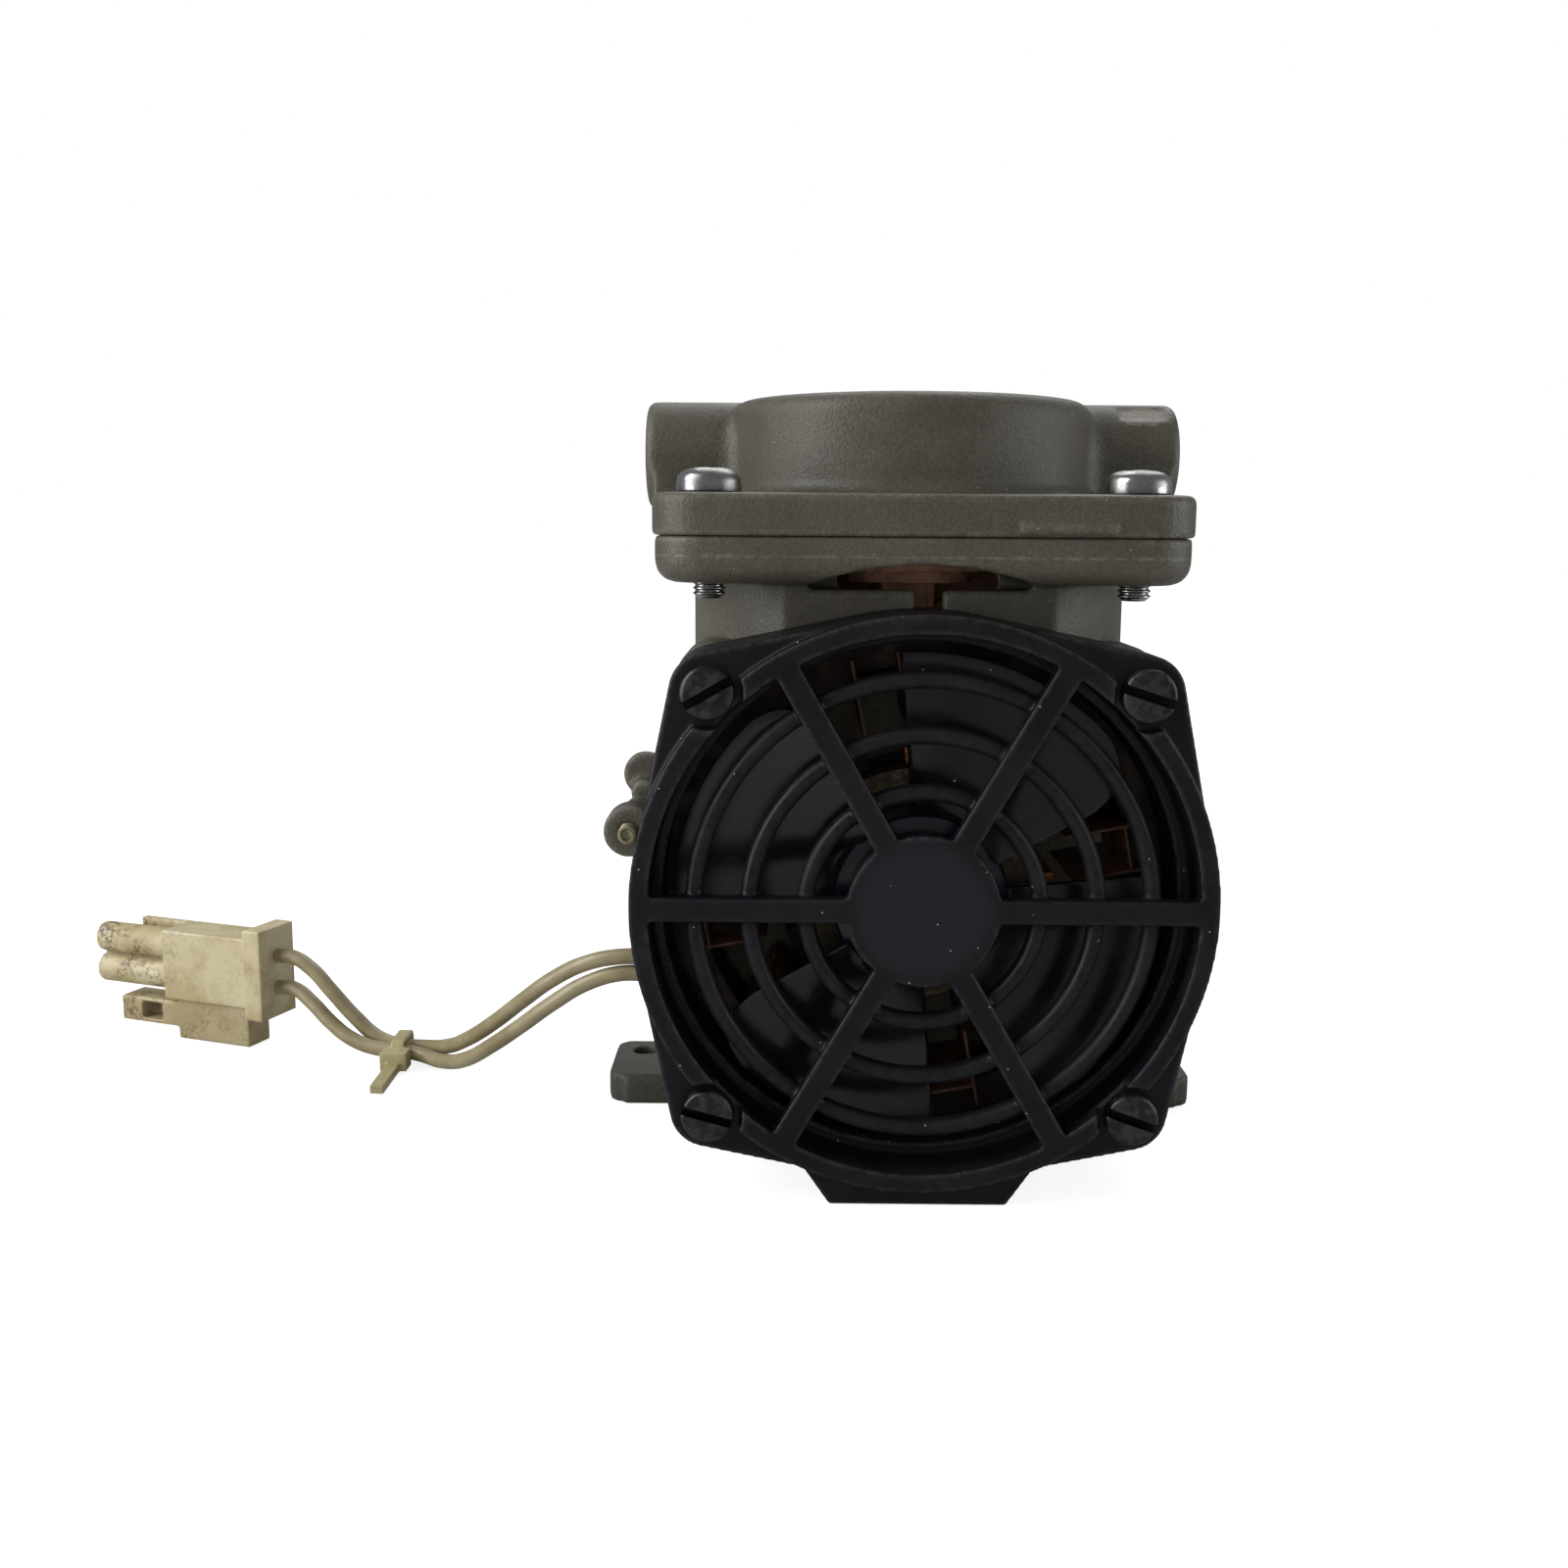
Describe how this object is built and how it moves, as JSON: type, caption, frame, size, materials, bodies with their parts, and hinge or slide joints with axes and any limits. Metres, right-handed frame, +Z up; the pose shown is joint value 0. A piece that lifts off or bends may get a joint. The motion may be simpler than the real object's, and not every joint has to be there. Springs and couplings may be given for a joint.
{
  "type": "diaphragm pump",
  "caption": "Motor-driven diaphragm pump: ported round head on a cast crankcase, fan guard in front, side feet, a short pair of leads with a plug.",
  "frame": {"origin": "midway between the two foot holes, on the surface that the feet stand on", "axes": "+X to the right seen from the fan guard, from inlet port to outlet port; +Y back along the shaft, away from the guard; +Z up, out of the head"},
  "size_m": [0.2125, 0.0912, 0.1226],
  "materials": {
    "cast_metal": "satin enamel over a fine cast surface",
    "black_plastic": "moulded, slightly glossy",
    "fan_plastic": "moulded, glossy",
    "bright_steel": "bright zinc plated",
    "dark_steel": "blackened and oily",
    "ground_steel": "ground",
    "spring_steel": "polished strip",
    "rod_alloy": "as cast",
    "black_rubber": "matt",
    "gasket_sheet": "matt",
    "lamination": "stacked sheet with brown varnish",
    "copper": "enamelled wire",
    "coil_tape": "varnished tape",
    "liner_paper": "varnished board",
    "tinned_metal": "tarnished",
    "lead_pvc": "soft, slightly yellowed",
    "tie_nylon": "translucent",
    "connector_nylon": "natural, soiled in the corners",
    "terminal_brass": "tinned"
  },
  "bodies": {
    "body": {"crankcase": "cast_metal", "rear_cover": "cast_metal", "rear_cover_screws": "bright_steel", "cylinder_head": "cast_metal", "head_screws": "bright_steel", "head_gasket": "gasket_sheet", "valve_plate": "ground_steel", "reed_clamps": "bright_steel", "diaphragm": "black_rubber", "bearing_outer_rings": "ground_steel", "bearing_balls": "ground_steel", "stator_core": "lamination", "coil_cores": "coil_tape", "stator_windings": "copper", "slot_liners": "liner_paper", "shading_rings": "copper", "stator_pins": "dark_steel", "fan_guard": "black_plastic", "guard_screws": "dark_steel", "ear_screw": "bright_steel", "lead_grommet": "black_rubber", "lead_upper": "lead_pvc", "lead_lower": "lead_pvc", "cable_tie": "tie_nylon", "connector_housing": "connector_nylon", "connector_terminals": "terminal_brass"},
    "rotor": {"shaft": "ground_steel", "rotor_core": "lamination", "rotor_end_rings": "tinned_metal", "fan": "fan_plastic", "fan_clip": "spring_steel", "eccentric": "ground_steel", "eccentric_screw": "dark_steel", "counterweight": "ground_steel", "rod_bearing_inner": "ground_steel", "bearing_inner_rings": "ground_steel"},
    "rod": {"connecting_rod": "rod_alloy", "rod_bearing_outer": "ground_steel", "rod_bearing_balls": "ground_steel", "lower_washer": "bright_steel", "clamp_dish": "rod_alloy", "clamp_screw": "dark_steel"},
    "inlet_flap": {"inlet_reed": "spring_steel"},
    "outlet_flap": {"outlet_reed": "spring_steel"}
  },
  "joints": [
    {"name": "shaft_spin", "type": "hinge", "parent": "body", "child": "rotor", "pos_m": [0, 0, 0.046], "axis": [0, 1, 0], "continuous": true, "deforming": ["diaphragm"]},
    {"name": "rod_pivot", "type": "hinge", "parent": "rotor", "child": "rod", "pos_m": [0, -0.0075, 0.0475], "axis": [0, 1, 0], "continuous": true},
    {"name": "inlet_flap_hinge", "type": "hinge", "parent": "body", "child": "inlet_flap", "pos_m": [-0.00605, -0.0075, 0.10253], "axis": [0, -1, 0], "range_deg": [0, 8], "stiffness_Nm_per_rad": 0.005, "springref_deg": -1.15},
    {"name": "outlet_flap_hinge", "type": "hinge", "parent": "body", "child": "outlet_flap", "pos_m": [0.00605, -0.0075, 0.10518], "axis": [0, -1, 0], "range_deg": [0, 8], "stiffness_Nm_per_rad": 0.005, "springref_deg": -1.15}
  ],
  "couplings": [
    {"joint": "rod_pivot", "follows": "shaft_spin", "ratio": -1}
  ]
}
